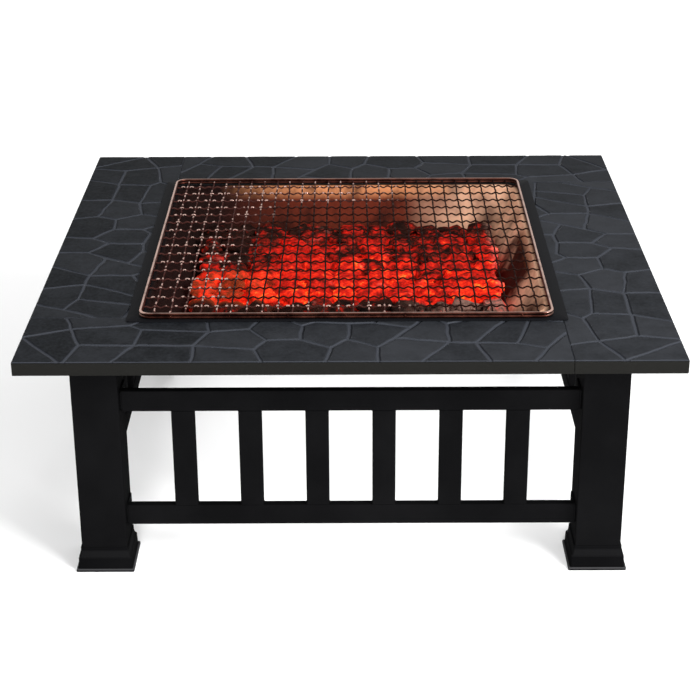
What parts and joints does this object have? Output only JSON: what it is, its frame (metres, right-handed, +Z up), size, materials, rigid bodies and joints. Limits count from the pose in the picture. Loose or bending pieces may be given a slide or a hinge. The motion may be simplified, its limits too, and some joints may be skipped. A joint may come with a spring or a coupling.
{
  "type": "fire pit with grate",
  "caption": "Square steel fire pit table with a stone-patterned top, slatted sides, a hanging fire bowl, a charcoal grate and a woven cooking grate.",
  "frame": {"origin": "on the ground, under the centre of the table", "axes": "+Z up; +X to the right and -Y towards the viewer; the table is square, so its four sides are alike"},
  "size_m": [0.813, 0.813, 0.3309],
  "materials": {
    "stone_coat": "satin powder coat over a pressed slate pattern",
    "frame_coat": "satin black",
    "foot_coat": "satin black",
    "bracket_coat": "satin black",
    "fastener_steel": "zinc plated",
    "bowl_enamel": "heat-resistant matt black",
    "charcoal_grate_steel": "heat-darkened",
    "charcoal": "burning charcoal",
    "copper_wire": "copper-plated wire"
  },
  "bodies": {
    "table": {"tabletop_front": "stone_coat", "tabletop_right": "stone_coat", "tabletop_back": "stone_coat", "tabletop_left": "stone_coat", "leg_front_left": "frame_coat", "leg_front_right": "frame_coat", "leg_back_right": "frame_coat", "leg_back_left": "frame_coat", "foot_front_left": "foot_coat", "foot_front_right": "foot_coat", "foot_back_right": "foot_coat", "foot_back_left": "foot_coat", "corner_bracket_front_left": "bracket_coat", "corner_bracket_front_right": "bracket_coat", "corner_bracket_back_right": "bracket_coat", "corner_bracket_back_left": "bracket_coat", "leg_top_plates": "bracket_coat", "front_top_rail": "frame_coat", "right_top_rail": "frame_coat", "back_top_rail": "frame_coat", "left_top_rail": "frame_coat", "front_bottom_rail": "frame_coat", "right_bottom_rail": "frame_coat", "back_bottom_rail": "frame_coat", "left_bottom_rail": "frame_coat", "front_slats": "frame_coat", "right_slats": "frame_coat", "back_slats": "frame_coat", "left_slats": "frame_coat", "rail_bolts": "fastener_steel", "rail_nuts": "fastener_steel", "tabletop_bolts": "fastener_steel", "tabletop_nuts": "fastener_steel", "leg_bolts": "fastener_steel"},
    "bowl": {"fire_bowl": "bowl_enamel"},
    "charcoal_grate": {"charcoal_grate_frame": "charcoal_grate_steel", "charcoal_grate_rods": "charcoal_grate_steel", "charcoal_grate_feet": "charcoal_grate_steel", "charcoal": "charcoal"},
    "cooking_grate": {"grate_bottom_rim": "copper_wire", "grate_top_rim": "copper_wire", "grate_long_wires": "copper_wire", "grate_cross_wires": "copper_wire"}
  },
  "joints": [
    {"name": "bowl_lift", "type": "slide", "parent": "table", "child": "bowl", "axis": [0, 0, 1], "range_m": [0, 0.2]},
    {"name": "charcoal_grate_lift", "type": "slide", "parent": "bowl", "child": "charcoal_grate", "axis": [0, 0, 1], "range_m": [0, 0.2]},
    {"name": "cooking_grate_lift", "type": "slide", "parent": "charcoal_grate", "child": "cooking_grate", "axis": [0, 0, 1], "range_m": [0, 0.2]}
  ]
}
